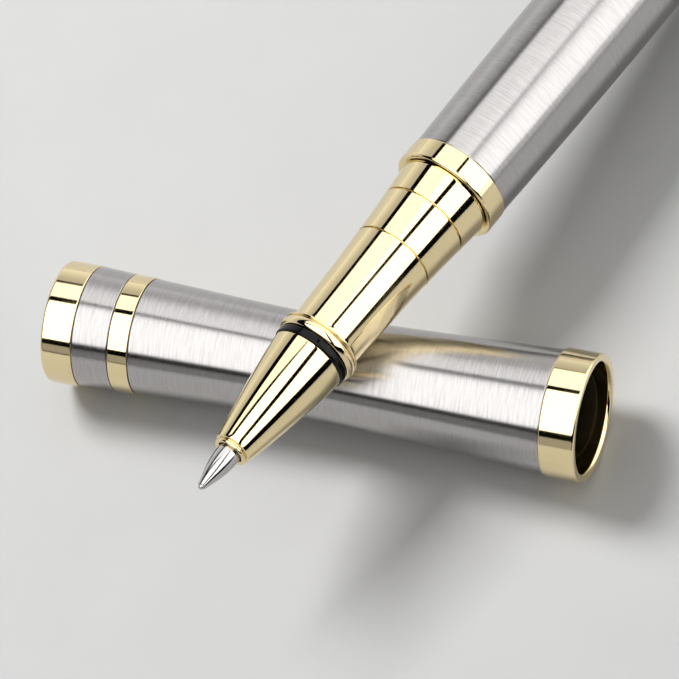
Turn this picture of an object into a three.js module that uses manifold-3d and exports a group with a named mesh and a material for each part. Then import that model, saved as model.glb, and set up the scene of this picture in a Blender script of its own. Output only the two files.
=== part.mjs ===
// Rollerball pen lying across its own cap. Millimetres, +Z up.
//
// The pen is drawn along its own axis, with distances measured back from the writing tip.
// The cap is drawn along its own axis, with distances measured from its closed top end to its lip.
// Both are then laid down together: the cap on its two end bands, the pen over the cap's waist
// with the rim of its tail on the ground.

import * as THREE from 'three';
import { mergeVertices } from 'three/addons/utils/BufferGeometryUtils.js';
import Module from 'manifold-3d';

const manifold = await Module();
manifold.setup();

const SIDES = 32;                 // facets round the outer turned pieces
const INNER_SIDES = 20;           // facets round the slender pieces inside
const FIT = 0.05;                 // radial and end clearance between fixed neighbours
const SLIDE_FIT = 0.1;            // radial clearance round what screws or slides

// Pen, distances from the tip.
const BALL_R = 0.35;
const POINT_R = 1.3;              // cylindrical shank of the refill's metal point
const POINT_CONE_END = 4.8;
const POINT_END = 9;
const NOSE_START = 5.1;
const NOSE_END = 18.6;
const NOSE_START_R = 1.95;
const NOSE_END_R = 4.12;
const NOSE_BULGE = 0.175;         // how far the cone swells past a straight line
const MOUTH_R = 1.42;             // bore of the cone's mouth, round the point
const NOSE_BORE_R = 3.15;
const NOSE_SPIGOT_R = 3.65;
const NOSE_SPIGOT_END = 25;
const SNAP_RING_END = 19.6;
const BEAD_END = 21.1;
const BEAD_R = 4.55;
const SECTION_END = 42.7;
const SECTION_WAIST = 21.4;
const SECTION_WAIST_R = 3.99;
const SECTION_SLOPE = 0.03;
const SECTION_FLARE = 0.62;       // how far the rear swells past a straight taper
const SECTION_LINES = [33.5, 38.9];
const LINE_HALF_WIDTH = 0.14;
const LINE_DEPTH = 0.14;
const SECTION_BORE_R = 3.25;
const NIPPLE_START = 36;          // the threaded nipple's root inside the section
const NIPPLE_BORE_R = 3.3;
const NIPPLE_ROOT_R = 3.95;
const SEAL_GROOVE_START = 43.3;
const SEAL_GROOVE_END = 44.4;
const SEAL_GROOVE_R = 3.75;
const SEAL_WIRE_R = 0.38;
const FRONT_RING_END = 45.2;
const FRONT_RING_R = 5.95;
const THREAD_START = 45.8;
const THREAD_PITCH = 0.75;
const THREAD_TURNS = 8;
const THREAD_R = 4.35;
const THREAD_DEPTH = 0.3;
const THREAD_INSERT_R = 5.2;
const THREAD_INSERT_END = 62;
const BARREL_FULL = 75;           // where the barrel is fattest
const BARREL_FULL_R = 6.15;
const BARREL_START_R = 5.8;
const BARREL_END = 116.5;
const BARREL_END_R = 5.6;
const BARREL_WALL = 0.5;
const TAIL_RING_END = 119;
const PEN_LENGTH = 128;
const TAIL_R = 5.2;
const TAIL_ROUND = 0.8;
const TAIL_PLUG_R = 4.5;          // the finial's plug inside the tail ring
const TAIL_PLUG_START = 115.3;
const REFILL_R = 3;
const REFILL_BORE_R = 2.6;
const REFILL_NOSE_END = 24;       // the nose plugs this far into the refill's tube
const REFILL_TUBE_START = 18.6;
const REFILL_TUBE_END = 105;
const REFILL_END = 107;
const REFILL_NIB_END = 109.5;
const RESERVOIR_END = 103.2;
const SPRING_START = 107.4;
const SPRING_END = 112.4;
const SPRING_R = 2.1;
const SPRING_WIRE_R = 0.22;
const SPRING_TURNS = 5;
const SPRING_SEAT_START = 106.5;
const SPRING_SEAT_END = 115;
const SPRING_SEAT_FLOOR = 113.6;
const SPRING_SEAT_R = 4.9;

// Cap, distances from the closed top end.
const CAP_LENGTH = 59;
const END_BAND_END = 3.5;
const END_BAND_R = 6.5;
const MID_BAND_START = 7.5;
const MID_BAND_END = 9.7;
const MID_BAND_R = 6.27;
const LIP_BAND_START = 55.1;
const LIP_BAND_R = 6.8;
const LIP_BORE_R = 5.85;
const CAP_WAIST = 28.4;
const CAP_WAIST_R = 5.56;
const CAP_FLARE = 0.045;          // slope the cap's outline settles to away from the waist
const CAP_WAIST_SOFTNESS = 6;
const CAP_WALL = 0.45;
const LIP_EASE = 0.3;
const LIP_BORE_EASE = 0.45;
const INSERT_R = 5.4;             // brass liner under the two bands at the closed end
const INSERT_BORE_R = 4.9;
const INSERT_START = 2.1;
const INSERT_END = 12;
const TOP_PLATE_R = 5.35;
const TOP_PLATE_SKIRT_R = 4.8;
const INNER_CAP_START = 13;
const INNER_CAP_END = 40;
const INNER_CAP_R = 5;
const INNER_CAP_BORE_R = 4.5;
const SLEEVE_START = 40.3;
const SLEEVE_END = 55;
const SLEEVE_WALL = 0.3;
const SCREW_R = 1.4;
const SCREW_HEAD_R = 2.4;
const CLIP_WIDTH = 2.8;
const CLIP_THICKNESS = 1.1;       // of the clip's root
const CLIP_ROOT_START = 4.75;
const CLIP_DOWN_DEG = 33.75;      // the clip points this far below level, on the pen's tail side
const CLIP_GAP = 0.3;
const CLIP_FOOT = 36.5;           // where the clip's foot bears on the cap

// How the two lie together.
const CROSSING_ANGLE_DEG = 71.8;  // between the two axes
const PEN_CONTACT = 24.5;         // where the pen crosses, from its tip
const CAP_CONTACT = 32.9;         // where the cap is crossed, from its top end
const CONTACT_GAP = 0.3;

const GOLD = [0xd8c48a, 0.12, 1];
const STEEL = [0xb4b0ae, 0.34, 1];
const POLISHED_STEEL = [0xd0d0d2, 0.15, 1];
const BRASS = [0xb08d4a, 0.35, 1];
const BLACK_PLASTIC = [0x121214, 0.35, 0];
const BLACK_GLOSS = [0x08080a, 0.08, 0];
const CLEAR_GREY_PLASTIC = [0x55595e, 0.4, 0];
const FIBRE = [0x26304a, 0.9, 0];
const RUBBER = [0x161616, 0.8, 0];

// ---------------------------------------------------------------- shapes

const capRadius = (x) => CAP_WAIST_R
  + CAP_FLARE * (Math.hypot(x - CAP_WAIST, CAP_WAIST_SOFTNESS) - CAP_WAIST_SOFTNESS);

function noseRadius(x) {
  const u = (x - NOSE_START) / (NOSE_END - NOSE_START);
  return NOSE_START_R + (NOSE_END_R - NOSE_START_R) * u + 4 * NOSE_BULGE * u * (1 - u);
}

function sectionRadius(x) {
  const run = x - SECTION_WAIST;
  const whole = SECTION_END - SECTION_WAIST;
  return SECTION_WAIST_R + SECTION_SLOPE * run + SECTION_FLARE * Math.max(run / whole, 0) ** 2.5;
}

function barrelRadius(x) {
  const ahead = x < BARREL_FULL;
  const reach = ahead ? BARREL_FULL - FRONT_RING_END : BARREL_END - BARREL_FULL;
  const drop = BARREL_FULL_R - (ahead ? BARREL_START_R : BARREL_END_R);
  return BARREL_FULL_R - drop * ((x - BARREL_FULL) / reach) ** 2;
}

// Points (radius, distance) of a curve sampled evenly from one distance to another.
function along(radius, from, to, steps, offset = 0) {
  const points = [];
  for (let i = 0; i <= steps; i += 1) {
    const x = from + (to - from) * i / steps;
    points.push([radius(x) + offset, x]);
  }
  return points;
}

// Points (radius, distance) of an arc about a centre, angles in degrees, 0 outward, 90 tailward.
function arc(centreR, centreX, size, fromDeg, toDeg, steps) {
  const points = [];
  for (let i = 0; i <= steps; i += 1) {
    const a = THREE.MathUtils.degToRad(fromDeg + (toDeg - fromDeg) * i / steps);
    points.push([centreR + size * Math.cos(a), centreX + size * Math.sin(a)]);
  }
  return points;
}

// A closed ring outline: the outer surface with eased edges, then a plain bore.
function bandOutline(from, to, outerR, boreR, ease) {
  return [
    [boreR, from],
    [outerR - ease, from],
    [outerR, from + ease],
    [outerR, to - ease],
    [outerR - ease, to],
    [boreR, to],
    [boreR, from],
  ];
}

// Welds a geometry into one closed solid facing outward.
function solid(geometry) {
  const bare = geometry.index ? geometry.toNonIndexed() : geometry.clone();
  bare.deleteAttribute('normal');
  bare.deleteAttribute('uv');
  const welded = mergeVertices(bare, 1e-5);
  const position = welded.getAttribute('position');
  const kept = [];
  let volume = 0;
  const [a, b, c] = [new THREE.Vector3(), new THREE.Vector3(), new THREE.Vector3()];
  for (let i = 0; i < welded.index.count; i += 3) {
    const corner = [0, 1, 2].map((k) => welded.index.getX(i + k));
    if (new Set(corner).size < 3) continue;
    [a, b, c].forEach((v, k) => v.fromBufferAttribute(position, corner[k]));
    volume += a.dot(b.cross(c));
    kept.push(corner);
  }
  if (volume < 0) kept.forEach((corner) => corner.reverse());
  const result = new THREE.BufferGeometry();
  result.setAttribute('position', position.clone());
  result.setIndex(kept.flat());
  return result;
}

// A solid of revolution about +Y from (radius, distance) points.
function turned(outline, sides = SIDES) {
  return solid(new THREE.LatheGeometry(outline.map(([r, x]) => new THREE.Vector2(r, x)), sides));
}

function toManifold(geometry) {
  const mesh = new manifold.Mesh({
    numProp: 3,
    vertProperties: new Float32Array(geometry.getAttribute('position').array),
    triVerts: new Uint32Array(geometry.index.array),
  });
  mesh.merge();
  return new manifold.Manifold(mesh);
}

function cut(geometry, tool) {
  const mesh = toManifold(geometry).subtract(toManifold(tool)).getMesh();
  const result = new THREE.BufferGeometry();
  result.setAttribute('position', new THREE.BufferAttribute(mesh.vertProperties, 3));
  result.setIndex(new THREE.BufferAttribute(mesh.triVerts, 1));
  return solid(result);
}

// ---------------------------------------------------------------- pen pieces

function refillBall() {
  return turned(arc(0, BALL_R, BALL_R, -90, 90, 8), INNER_SIDES);
}

// Metal point: an ogive with an open socket for the ball.
function refillPoint() {
  const lip = BALL_R + 0.05;
  const reach = POINT_CONE_END - lip;
  const ogive = (x) => 0.44 + (POINT_R - 0.44) * Math.sin(Math.PI / 2 * (x - lip) / reach);
  return turned([
    [0, 0.95],
    [0.38, 0.72],
    [0.38, lip],
    ...along(ogive, lip, POINT_CONE_END, 6),
    [POINT_R, POINT_END],
    [0, POINT_END],
  ], INNER_SIDES);
}

// Plastic nose of the refill, whose shoulder stops it in the cone.
function refillNose() {
  return turned([
    [0, POINT_END + FIT],
    [1.85, POINT_END + FIT],
    [2, 12],
    [REFILL_BORE_R, 16],
    [REFILL_BORE_R, REFILL_TUBE_START - FIT],
    [REFILL_BORE_R - SLIDE_FIT, REFILL_TUBE_START - FIT],
    [REFILL_BORE_R - SLIDE_FIT, REFILL_NOSE_END],
    [0, REFILL_NOSE_END],
  ], INNER_SIDES);
}

function refillTube() {
  return turned([
    [REFILL_BORE_R, REFILL_TUBE_START],
    [REFILL_R - 0.1, REFILL_TUBE_START],
    [REFILL_R, REFILL_TUBE_START + 0.4],
    [REFILL_R, REFILL_TUBE_END],
    [REFILL_BORE_R, REFILL_TUBE_END],
    [REFILL_BORE_R, REFILL_TUBE_START],
  ], INNER_SIDES);
}

function inkReservoir() {
  const radius = REFILL_BORE_R - 0.15;
  const start = REFILL_NOSE_END + 0.2;
  return turned([[0, start], [radius, start], [radius, RESERVOIR_END], [0, RESERVOIR_END]], INNER_SIDES);
}

function refillPlug() {
  const start = RESERVOIR_END + 0.3;
  const nibR = 1.4;
  return turned([
    [0, start],
    [REFILL_BORE_R - SLIDE_FIT, start],
    [REFILL_BORE_R - SLIDE_FIT, REFILL_TUBE_END + FIT],
    [REFILL_R, REFILL_TUBE_END + FIT],
    [REFILL_R, REFILL_END - 0.3],
    [REFILL_R - 0.3, REFILL_END],
    [nibR, REFILL_END],
    [nibR, REFILL_NIB_END],
    [0, REFILL_NIB_END],
  ], INNER_SIDES);
}

class Helix extends THREE.Curve {
  getPoint(t) {
    const turn = 2 * Math.PI * SPRING_TURNS * t;
    const rise = SPRING_START + (SPRING_END - SPRING_START) * t;
    return new THREE.Vector3(SPRING_R * Math.cos(turn), rise, SPRING_R * Math.sin(turn));
  }
}

function refillSpring() {
  const wire = new THREE.Shape();
  wire.absarc(0, 0, SPRING_WIRE_R, 0, 2 * Math.PI);
  return solid(new THREE.ExtrudeGeometry(wire, {
    steps: SPRING_TURNS * 12,
    curveSegments: 3,
    extrudePath: new Helix(),
    bevelEnabled: false,
  }));
}

function springSeat() {
  const springPocketR = SPRING_R + 0.5;
  const plugPocketR = REFILL_R + 0.25;
  return turned([
    [0, SPRING_SEAT_FLOOR],
    [springPocketR, SPRING_SEAT_FLOOR],
    [springPocketR, 109.2],
    [plugPocketR, 108.9],
    [plugPocketR, SPRING_SEAT_START],
    [SPRING_SEAT_R, SPRING_SEAT_START],
    [SPRING_SEAT_R, SPRING_SEAT_END],
    [0, SPRING_SEAT_END],
  ]);
}

// Gold cone with a rim at its mouth and a spigot that plugs into the section.
function noseCone() {
  const throatR = 2.2;
  const throatEnd = 12.4;
  const throatStart = 8.9;
  return turned([
    [MOUTH_R, NOSE_START + 0.25],
    [1.65, NOSE_START],
    [NOSE_START_R, NOSE_START],
    ...along(noseRadius, NOSE_START + 0.15, NOSE_END, 7),
    [NOSE_SPIGOT_R, NOSE_END],
    [NOSE_SPIGOT_R, NOSE_SPIGOT_END],
    [NOSE_BORE_R, NOSE_SPIGOT_END],
    [NOSE_BORE_R, throatEnd + 4],
    [throatR, throatEnd],
    [throatR, throatStart],
    [MOUTH_R, throatStart],
    [MOUTH_R, NOSE_START + 0.25],
  ]);
}

function snapRing() {
  const bore = NOSE_SPIGOT_R + FIT;
  return turned(bandOutline(NOSE_END + FIT, SNAP_RING_END, NOSE_END_R + 0.13, bore, 0.2));
}

// Grip section: rounded bead, slender waist, two engraved lines, flare to the rear.
function gripSection() {
  const from = SNAP_RING_END + FIT;
  const beadHalf = (BEAD_END - from) / 2;
  const bead = [];
  for (let i = 0; i <= 6; i += 1) {
    const a = -Math.PI / 2 + Math.PI * i / 6;
    bead.push([BEAD_R - 0.4 + 0.4 * Math.cos(a), from + beadHalf + beadHalf * Math.sin(a)]);
  }
  const flare = [];
  const stations = 9;
  for (let i = 0; i <= stations; i += 1) {
    flare.push(SECTION_WAIST + (SECTION_END - SECTION_WAIST) * i / stations);
  }
  const plain = flare.filter((x) => SECTION_LINES.every((l) => Math.abs(x - l) > 0.4));
  const body = plain.map((x) => [sectionRadius(x), x]);
  SECTION_LINES.forEach((line) => {
    body.push([sectionRadius(line - LINE_HALF_WIDTH), line - LINE_HALF_WIDTH]);
    body.push([sectionRadius(line) - LINE_DEPTH, line]);
    body.push([sectionRadius(line + LINE_HALF_WIDTH), line + LINE_HALF_WIDTH]);
  });
  body.sort((p, q) => p[1] - q[1]);
  const socketR = NOSE_SPIGOT_R + FIT;
  const socketEnd = NOSE_SPIGOT_END + 0.2;
  const rootR = NIPPLE_ROOT_R + FIT;
  return turned([
    [socketR, from],
    ...bead,
    ...body,
    [rootR, SECTION_END],
    [rootR, NIPPLE_START],
    [SECTION_BORE_R, NIPPLE_START],
    [SECTION_BORE_R, socketEnd],
    [socketR, socketEnd],
    [socketR, from],
  ]);
}

// Threaded brass nipple fixed in the section's rear.
function threadNipple() {
  const from = NIPPLE_START + FIT;
  const ridges = [];
  for (let i = 0; i < THREAD_TURNS; i += 1) {
    const x = THREAD_START + THREAD_PITCH * i;
    ridges.push([THREAD_R - THREAD_DEPTH, x], [THREAD_R, x + THREAD_PITCH / 2]);
  }
  const end = THREAD_START + THREAD_PITCH * THREAD_TURNS;
  return turned([
    [NIPPLE_BORE_R, from],
    [NIPPLE_ROOT_R, from],
    [NIPPLE_ROOT_R, SECTION_END + 0.2],
    [THREAD_R, SECTION_END + 0.2],
    [THREAD_R, SEAL_GROOVE_START],
    [SEAL_GROOVE_R, SEAL_GROOVE_START],
    [SEAL_GROOVE_R, SEAL_GROOVE_END],
    [THREAD_R, SEAL_GROOVE_END],
    [THREAD_R, FRONT_RING_END],
    [THREAD_R - THREAD_DEPTH, FRONT_RING_END + 0.2],
    ...ridges,
    [THREAD_R - THREAD_DEPTH, end],
    [NIPPLE_BORE_R, end],
    [NIPPLE_BORE_R, from],
  ]);
}

function nippleSeal() {
  const middle = (SEAL_GROOVE_START + SEAL_GROOVE_END) / 2;
  return turned(arc(SEAL_GROOVE_R + SEAL_WIRE_R + 0.06, middle, SEAL_WIRE_R, 0, 360, 8));
}

function barrelFrontRing() {
  const from = SECTION_END + FIT;
  const round = 0.35;
  const bore = 4.7;
  return turned([
    [bore, from],
    [sectionRadius(SECTION_END) + 0.12, from],
    [FRONT_RING_R - round, from - 0.1],
    ...arc(FRONT_RING_R - round, from - 0.1 + round, round, -90, 0, 3).slice(1),
    ...arc(FRONT_RING_R - 0.2, FRONT_RING_END - 0.2, 0.2, 0, 90, 2),
    [bore, FRONT_RING_END],
    [bore, from],
  ]);
}

function barrelTube() {
  const from = FRONT_RING_END + FIT;
  return turned([
    ...along(barrelRadius, from, BARREL_END, 8),
    ...along(barrelRadius, from, BARREL_END, 4, -BARREL_WALL).reverse(),
    [barrelRadius(from), from],
  ]);
}

function threadInsert() {
  const bore = THREAD_R + SLIDE_FIT;
  const from = FRONT_RING_END + FIT;
  return turned(bandOutline(from, THREAD_INSERT_END, THREAD_INSERT_R, bore, 0.2));
}

function tailRing() {
  const bore = TAIL_PLUG_R + SLIDE_FIT;
  return turned(bandOutline(BARREL_END + FIT, TAIL_RING_END, BARREL_END_R + 0.12, bore, 0.25));
}

function tailFinialOutline() {
  const from = TAIL_RING_END + FIT;
  return [
    [0, TAIL_PLUG_START],
    [TAIL_PLUG_R - 0.2, TAIL_PLUG_START],
    [TAIL_PLUG_R, TAIL_PLUG_START + 0.2],
    [TAIL_PLUG_R, from],
    [5.45, from],
    [5.55, from + 0.2],
    ...arc(TAIL_R - TAIL_ROUND, PEN_LENGTH - TAIL_ROUND, TAIL_ROUND, 0, 90, 5),
    [0, PEN_LENGTH],
  ];
}

// ---------------------------------------------------------------- cap pieces

function capTopPlate() {
  const thickness = 2;
  const skirtEnd = 4.4;
  const screwBoreR = SCREW_R + FIT;
  return turned([
    [0, 0],
    [TOP_PLATE_R - 0.25, 0],
    [TOP_PLATE_R, 0.25],
    [TOP_PLATE_R, thickness],
    [TOP_PLATE_SKIRT_R, thickness],
    [TOP_PLATE_SKIRT_R, skirtEnd],
    [screwBoreR, skirtEnd],
    [screwBoreR, thickness + 0.2],
    [0, thickness + 0.2],
  ]);
}

function capEndBand() {
  return turned(bandOutline(0.05, END_BAND_END, END_BAND_R, INSERT_R + FIT, 0.3));
}

// A radial window for the clip's root, cut through the tubes on the clip's side (local -Z).
function clipWindow() {
  const depth = 6;
  const box = new THREE.BoxGeometry(CLIP_WIDTH + 2 * CLIP_GAP, CLIP_THICKNESS + 2 * 0.35, depth);
  return solid(box.translate(0, CLIP_ROOT_START + CLIP_THICKNESS / 2, -3.5 - depth / 2));
}

function capInsert() {
  return cut(turned(bandOutline(INSERT_START, INSERT_END, INSERT_R, INSERT_BORE_R, 0.15)), clipWindow());
}

function capUpperTube() {
  const from = END_BAND_END + FIT;
  const to = MID_BAND_START - FIT;
  const bore = INSERT_R + FIT;
  return cut(turned([
    [bore, from],
    ...along(capRadius, from, to, 2),
    [bore, to],
    [bore, from],
  ]), clipWindow());
}

function capMidBand() {
  return turned(bandOutline(MID_BAND_START, MID_BAND_END, MID_BAND_R, INSERT_R + FIT, 0.12));
}

function capTube() {
  const from = MID_BAND_END + FIT;
  const to = LIP_BAND_START - FIT;
  return turned([
    ...along(capRadius, from, to, 12),
    ...along(capRadius, from, to, 6, -CAP_WALL).reverse(),
    [capRadius(from), from],
  ]);
}

function capLipBand() {
  return turned([
    [LIP_BORE_R, LIP_BAND_START],
    [LIP_BAND_R - LIP_EASE, LIP_BAND_START],
    [LIP_BAND_R, LIP_BAND_START + LIP_EASE],
    [LIP_BAND_R, CAP_LENGTH - LIP_EASE],
    [LIP_BAND_R - LIP_EASE, CAP_LENGTH],
    [LIP_BORE_R + LIP_BORE_EASE, CAP_LENGTH],
    [LIP_BORE_R, CAP_LENGTH - LIP_BORE_EASE],
    [LIP_BORE_R, LIP_BAND_START],
  ]);
}

// Closed plastic cup that keeps the tip from drying.
function innerCap() {
  const floor = INNER_CAP_START + 1.6;
  return turned([
    [0, INNER_CAP_START],
    [INNER_CAP_R - 0.3, INNER_CAP_START],
    [INNER_CAP_R, INNER_CAP_START + 0.4],
    [INNER_CAP_R, INNER_CAP_END],
    [INNER_CAP_BORE_R, INNER_CAP_END],
    [INNER_CAP_BORE_R, floor + 2.4],
    [2, floor],
    [0, floor],
  ]);
}

// Springy sleeve in the mouth that grips the section.
function mouthSleeve() {
  const outer = (x) => capRadius(x) - CAP_WALL - FIT;
  return turned([
    ...along(outer, SLEEVE_START, SLEEVE_END, 3),
    ...along(outer, SLEEVE_START, SLEEVE_END, 3, -SLEEVE_WALL).reverse(),
    [outer(SLEEVE_START), SLEEVE_START],
  ]);
}

function clipWasher() {
  return turned(bandOutline(6.2, 7.3, INSERT_BORE_R - SLIDE_FIT, SCREW_R + SLIDE_FIT, 0.1));
}

function clipScrew() {
  return turned([
    [0, 2.3],
    [SCREW_R, 2.3],
    [SCREW_R, 7.35],
    [SCREW_HEAD_R, 7.35],
    [SCREW_HEAD_R, 8.2],
    [SCREW_HEAD_R - 0.3, 8.5],
    [0, 8.5],
  ], INNER_SIDES);
}

// Sprung bar with a root through the window and a foot that bears on the cap.
function clip() {
  const footR = capRadius(CLIP_FOOT) + CLIP_GAP;
  const rootEnd = CLIP_ROOT_START + CLIP_THICKNESS;
  const rootDepth = 3.4;
  const side = new THREE.Shape();
  side.moveTo(CLIP_ROOT_START, rootDepth);
  side.lineTo(rootEnd, rootDepth);
  side.lineTo(rootEnd, 7);
  side.lineTo(33.2, 6.75);
  side.quadraticCurveTo(34.6, 6.7, 35.4, footR + 0.25);
  side.quadraticCurveTo(CLIP_FOOT, footR - 0.25, 37.6, footR + 0.25);
  side.quadraticCurveTo(38.4, 6.8, 39.4, 7.3);
  side.lineTo(39.2, 7.75);
  side.lineTo(36, 7.85);
  side.lineTo(5.6, 8.2);
  side.quadraticCurveTo(4.3, 8.1, 4.3, 7);
  side.lineTo(CLIP_ROOT_START, 7);
  side.closePath();
  const bar = new THREE.ExtrudeGeometry(side, {
    depth: CLIP_WIDTH, steps: 1, curveSegments: 3, bevelEnabled: false,
  });
  // Shape X runs along the cap, shape Y outward on the clip's side.
  bar.translate(0, 0, -CLIP_WIDTH / 2);
  const lay = new THREE.Matrix4().makeBasis(
    new THREE.Vector3(0, 1, 0), new THREE.Vector3(0, 0, -1), new THREE.Vector3(-1, 0, 0));
  return solid(bar.applyMatrix4(lay));
}

// ---------------------------------------------------------------- laying down

// A frame whose +Y is the given axis, whose +Z is as near up as it can be, rolled about the axis.
function frameAlong(axis, origin, rollDeg = 0) {
  const y = axis.clone().normalize();
  const z = new THREE.Vector3(0, 0, 1).addScaledVector(y, -y.z).normalize();
  z.applyAxisAngle(y, THREE.MathUtils.degToRad(rollDeg));
  const x = new THREE.Vector3().crossVectors(y, z);
  return new THREE.Matrix4().makeBasis(x, y, z).setPosition(origin);
}

// The cap lies on the outer edge of its end band and the inner edge of its lip band.
function layCap() {
  const [restA, restB] = [0.35, LIP_BAND_START + LIP_EASE];
  const tilt = Math.atan((LIP_BAND_R - END_BAND_R) / (restB - restA));
  const axis = new THREE.Vector3(0, -Math.cos(tilt), Math.sin(tilt));
  const top = new THREE.Vector3(0, 0, END_BAND_R * Math.cos(tilt) - restA * Math.sin(tilt));
  return { axis, top };
}

// The pen crosses the cap at the contact distances and slopes until its tail rim meets the ground.
function layPen(cap) {
  const alongCap = Math.cos(THREE.MathUtils.degToRad(CROSSING_ANGLE_DEG));
  const crossing = cap.top.clone().addScaledVector(cap.axis, CAP_CONTACT);
  const apart = capRadius(CAP_CONTACT) + sectionRadius(PEN_CONTACT) + CONTACT_GAP;
  const rim = tailFinialOutline().filter(([r, x]) => r > 0 && x > TAIL_RING_END);
  let axis = new THREE.Vector3(1, 0, 0);
  let tip = new THREE.Vector3();
  let dip = 0;
  for (let pass = 0; pass < 30; pass += 1) {
    const y = (alongCap + dip * cap.axis.z) / cap.axis.y;
    axis = new THREE.Vector3(Math.sqrt(1 - y * y - dip * dip), y, -dip);
    const away = new THREE.Vector3().crossVectors(cap.axis, axis).normalize();
    tip = crossing.clone().addScaledVector(away, apart).addScaledVector(axis, -PEN_CONTACT);
    const lean = Math.sqrt(1 - dip * dip);
    dip = Math.min(...rim.map(([r, x]) => (tip.z - r * lean) / x));
  }
  return { axis, tip };
}

// ---------------------------------------------------------------- assembly

const CAP_PIECES = {
  cap_top_plate: [capTopPlate, POLISHED_STEEL],
  cap_end_band: [capEndBand, GOLD],
  cap_upper_tube: [capUpperTube, STEEL],
  cap_mid_band: [capMidBand, GOLD],
  cap_tube: [capTube, STEEL],
  cap_lip_band: [capLipBand, GOLD],
  cap_insert: [capInsert, BRASS],
  clip_washer: [clipWasher, POLISHED_STEEL],
  clip_screw: [clipScrew, POLISHED_STEEL],
  clip: [clip, GOLD],
  inner_cap: [innerCap, BLACK_PLASTIC],
  mouth_sleeve: [mouthSleeve, BLACK_PLASTIC],
};

const PEN_PIECES = {
  refill_ball: [refillBall, POLISHED_STEEL],
  refill_point: [refillPoint, POLISHED_STEEL],
  refill_nose: [refillNose, CLEAR_GREY_PLASTIC],
  refill_tube: [refillTube, POLISHED_STEEL],
  ink_reservoir: [inkReservoir, FIBRE],
  refill_plug: [refillPlug, BLACK_PLASTIC],
  refill_spring: [refillSpring, POLISHED_STEEL],
  spring_seat: [springSeat, BLACK_PLASTIC],
  nose_cone: [noseCone, GOLD],
  snap_ring: [snapRing, BLACK_GLOSS],
  grip_section: [gripSection, GOLD],
  thread_nipple: [threadNipple, BRASS],
  nipple_seal: [nippleSeal, RUBBER],
  barrel_front_ring: [barrelFrontRing, GOLD],
  barrel_tube: [barrelTube, STEEL],
  thread_insert: [threadInsert, BRASS],
  tail_ring: [tailRing, GOLD],
  tail_finial: [() => turned(tailFinialOutline()), STEEL],
};

function addPieces(group, pieces, frame) {
  Object.entries(pieces).forEach(([name, [shape, [color, roughness, metalness]]]) => {
    const material = new THREE.MeshStandardMaterial({ color, roughness, metalness });
    material.name = name;
    const mesh = new THREE.Mesh(shape().applyMatrix4(frame), material);
    mesh.name = name;
    group.add(mesh);
  });
}

function build() {
  const group = new THREE.Group();
  group.name = 'rollerball_pen';
  const cap = layCap();
  const pen = layPen(cap);
  addPieces(group, CAP_PIECES, frameAlong(cap.axis, cap.top, 90 - CLIP_DOWN_DEG));
  addPieces(group, PEN_PIECES, frameAlong(pen.axis, pen.tip));
  const box = new THREE.Box3().setFromObject(group);
  const centre = box.getCenter(new THREE.Vector3());
  group.children.forEach((mesh) => {
    mesh.geometry.translate(-centre.x, -centre.y, -box.min.z);
    mesh.geometry.computeVertexNormals();
  });
  return group;
}

export default build();
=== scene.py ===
"""Rollerball pen lying across its cap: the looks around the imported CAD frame. Metres, +Z up.

Turned pieces are drawn along their own axis, the pen's from its writing tip and the cap's from
its closed top end, in millimetres, and then laid on the axes that the CAD nodes give.
"""

import math

import bmesh
import bpy
from mathutils import Matrix, Vector


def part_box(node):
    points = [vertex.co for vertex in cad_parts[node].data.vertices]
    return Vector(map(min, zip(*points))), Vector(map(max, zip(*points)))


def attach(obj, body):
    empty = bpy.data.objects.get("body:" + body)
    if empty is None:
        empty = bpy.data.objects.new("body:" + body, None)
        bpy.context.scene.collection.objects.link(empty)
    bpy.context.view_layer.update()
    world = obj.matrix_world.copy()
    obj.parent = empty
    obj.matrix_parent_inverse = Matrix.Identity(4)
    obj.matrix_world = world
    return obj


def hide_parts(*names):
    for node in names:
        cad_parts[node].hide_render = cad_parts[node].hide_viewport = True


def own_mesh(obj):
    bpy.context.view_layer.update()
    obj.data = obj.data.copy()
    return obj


MM = 0.001
OUTER_SEGMENTS = 192
INNER_SEGMENTS = 80
SMOOTH_ANGLE = math.radians(32)
ON_AXIS = 1e-6
NOISE_LOW = 0.3             # the range that the noise is spread from
NOISE_HIGH = 0.7
SAME_POINT = 1e-8

FIT = 0.05                  # gap between fixed neighbours

# Pen, distances from the tip.
BALL_R = 0.35
POINT_R = 1.3
POINT_CONE_END = 4.8
POINT_CONE_R = 0.44         # where the cone starts, behind the ball's lip
POINT_END = 9
NOSE_START = 5.1
NOSE_END = 18.6
NOSE_START_R = 1.95
NOSE_END_R = 4.12
NOSE_BULGE = 0.175
MOUTH_R = 1.42
NOSE_BORE_R = 3.15
NOSE_SPIGOT_R = 3.65
NOSE_SPIGOT_END = 25
SNAP_RING_END = 19.6
SNAP_RING_R = 4.25
SNAP_RING_BORE_R = 3.7
SECTION_START = SNAP_RING_END + FIT
BEAD_END = 21.1
BEAD_R = 4.55
BEAD_DEPTH = 0.4
BEAD_RIM = 0.3
SECTION_WAIST = 21.4
SECTION_WAIST_R = 3.99
SECTION_SLOPE = 0.03
SECTION_FLARE = 0.62
SECTION_END = 42.7
SECTION_LINES = (33.5, 38.9)
SECTION_BORE_R = 3.25
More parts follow.
